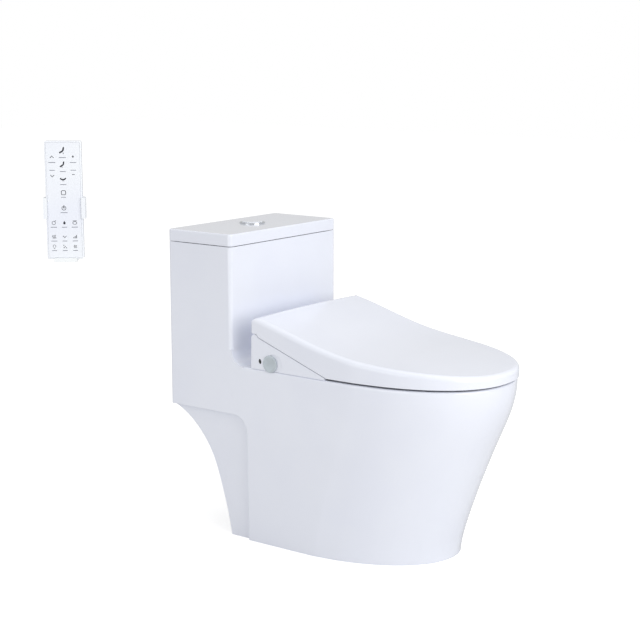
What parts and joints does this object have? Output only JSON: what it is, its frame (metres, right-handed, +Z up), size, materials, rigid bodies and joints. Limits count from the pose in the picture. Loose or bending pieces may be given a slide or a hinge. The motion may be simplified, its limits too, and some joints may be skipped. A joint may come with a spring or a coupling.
{
  "type": "smart toilet with heated seat",
  "caption": "One-piece skirted toilet with dual-flush tank, soft-close lid, heated washing seat with sliding spray wand, and a remote in its wall holder.",
  "frame": {"origin": "centre of the floor outlet at floor level", "axes": "+Z up; the tank's back faces +Y and the bowl's front points to -Y; +X is to the right of someone facing it"},
  "size_m": [0.9223, 0.771, 0.924],
  "materials": {
    "ceramic": "gloss",
    "white_plastic": "gloss",
    "white_satin": "satin",
    "chrome": "polished",
    "grey_plastic": "satin",
    "dark_plastic": "satin",
    "window_black": "gloss",
    "dial_grey": "translucent",
    "rubber": "matte",
    "dark_rubber": "matte",
    "steel": "brushed",
    "copper_foil": "satin",
    "board_green": "satin",
    "brass": "machined",
    "battery": "gloss",
    "keypad_white": "satin"
  },
  "bodies": {
    "toilet": {"ceramic_body": "ceramic", "outlet_seal": "dark_rubber", "floor_brackets": "grey_plastic", "bracket_screws": "steel", "flush_valve_gasket": "dark_rubber", "flush_valve_tower": "white_satin", "fill_valve_body": "white_satin", "fill_valve_nut": "white_satin", "refill_tube": "rubber", "base_plate": "steel", "mount_bolts": "steel", "mount_bushings": "dark_rubber", "remote_holder": "white_plastic"},
    "tank_cover": {"tank_lid": "ceramic", "flush_button_housing": "chrome", "flush_housing_nut": "white_satin"},
    "full_button": {"flush_button_full": "white_plastic"},
    "half_button": {"flush_button_half": "white_plastic"},
    "plunger": {"flush_valve_plunger": "grey_plastic", "flush_valve_seal": "dark_rubber"},
    "rocker": {"flush_rocker": "grey_plastic"},
    "float": {"fill_valve_float": "grey_plastic"},
    "float_lever": {"fill_valve_lever": "white_satin"},
    "unit": {"unit_upper_case": "white_plastic", "unit_lower_case": "white_satin", "case_screws": "steel", "indicator_window": "window_black", "water_inlet_port": "brass", "cord_gland": "dark_plastic", "solenoid_valve": "dark_plastic", "water_heater": "grey_plastic", "flow_valve": "white_satin", "wand_guide": "white_satin", "wand_motor": "steel", "dryer_housing": "dark_plastic", "deodoriser_housing": "dark_plastic", "circuit_board": "board_green", "seat_damper": "dark_plastic", "lid_damper": "dark_plastic", "hinge_pins": "steel"},
    "release": {"release_button": "white_plastic"},
    "filter": {"filter_cartridge": "grey_plastic"},
    "dial": {"drain_dial": "dial_grey"},
    "wand": {"spray_wand": "white_plastic"},
    "pinion": {"wand_pinion": "grey_plastic"},
    "dryer_fan": {"dryer_impeller": "white_satin"},
    "odour_fan": {"deodoriser_impeller": "white_satin"},
    "seat": {"seat_bottom_shell": "white_plastic", "seat_top_shell": "white_plastic", "seat_heater": "copper_foil", "seat_bumpers": "rubber"},
    "lid": {"lid_shell": "white_plastic", "lid_bumpers": "rubber"},
    "remote": {"remote_front": "white_plastic", "remote_back": "white_plastic", "remote_keypad": "keypad_white", "remote_board": "board_green", "batteries": "battery"},
    "cover": {"battery_cover": "white_plastic"}
  },
  "joints": [
    {"name": "tank_lid_lift", "type": "slide", "parent": "toilet", "child": "tank_cover", "axis": [0, 0, 1], "range_m": [0, 0.12]},
    {"name": "flush_full_press", "type": "slide", "parent": "tank_cover", "child": "full_button", "axis": [0, 0, -1], "range_m": [0, 0.007], "stiffness_N_per_m": 300, "springref_m": -0.004},
    {"name": "flush_half_press", "type": "slide", "parent": "tank_cover", "child": "half_button", "axis": [0, 0, -1], "range_m": [0, 0.007], "stiffness_N_per_m": 300, "springref_m": -0.004},
    {"name": "plunger_lift", "type": "slide", "parent": "toilet", "child": "plunger", "axis": [0, 0, 1], "range_m": [0, 0.02]},
    {"name": "rocker_turn", "type": "hinge", "parent": "toilet", "child": "rocker", "pos_m": [-0.022, 0.206, 0.611], "axis": [0, 1, 0], "range_deg": [0, 37]},
    {"name": "float_rise", "type": "slide", "parent": "toilet", "child": "float", "axis": [0, 0, 1], "range_m": [0, 0.025]},
    {"name": "float_lever_turn", "type": "hinge", "parent": "toilet", "child": "float_lever", "pos_m": [0.128, 0.1835, 0.606], "axis": [-1, 0, 0], "range_deg": [0, 30]},
    {"name": "unit_slide", "type": "slide", "parent": "toilet", "child": "unit", "axis": [0, -1, 0], "range_m": [0, 0.06]},
    {"name": "release_press", "type": "slide", "parent": "unit", "child": "release", "axis": [-1, 0, 0], "range_m": [0, 0.0025], "stiffness_N_per_m": 400, "springref_m": -0.002},
    {"name": "filter_pull", "type": "slide", "parent": "unit", "child": "filter", "axis": [-1, 0, 0], "range_m": [0, 0.05]},
    {"name": "dial_turn", "type": "hinge", "parent": "filter", "child": "dial", "pos_m": [-0.19, 0.001, 0.4185], "axis": [-1, 0, 0], "range_deg": [0, 90]},
    {"name": "wand_slide", "type": "slide", "parent": "unit", "child": "wand", "axis": [0, -0.9063, -0.4226], "range_m": [0, 0.095]},
    {"name": "pinion_spin", "type": "hinge", "parent": "unit", "child": "pinion", "pos_m": [0, -0.05659, 0.4358], "axis": [-1, 0, 0], "range_deg": [0, 908]},
    {"name": "dryer_spin", "type": "hinge", "parent": "unit", "child": "dryer_fan", "pos_m": [-0.062, 0.016, 0.412], "axis": [0, 0, 1], "continuous": true},
    {"name": "odour_spin", "type": "hinge", "parent": "unit", "child": "odour_fan", "pos_m": [-0.112, 0.012, 0.412], "axis": [0, 0, 1], "continuous": true},
    {"name": "seat_lift", "type": "hinge", "parent": "unit", "child": "seat", "pos_m": [0, 0.044, 0.47], "axis": [1, 0, 0], "range_deg": [-95, 0]},
    {"name": "lid_lift", "type": "hinge", "parent": "seat", "child": "lid", "pos_m": [0, 0.044, 0.47], "axis": [-1, 0, 0], "range_deg": [0, 97]},
    {"name": "remote_lift", "type": "slide", "parent": "toilet", "child": "remote", "axis": [0, 0, 1], "range_m": [0, 0.13]},
    {"name": "battery_cover_slide", "type": "slide", "parent": "remote", "child": "cover", "axis": [0, 0, 1], "range_m": [0, 0.0078]}
  ],
  "couplings": [
    {"joint": "plunger_lift", "follows": "flush_full_press", "ratio": 2.857},
    {"joint": "rocker_turn", "follows": "flush_full_press", "rad_per_m": 92.2},
    {"joint": "float_lever_turn", "follows": "float_rise", "rad_per_m": 20.9},
    {"joint": "pinion_spin", "follows": "wand_slide", "rad_per_m": 166.67}
  ]
}
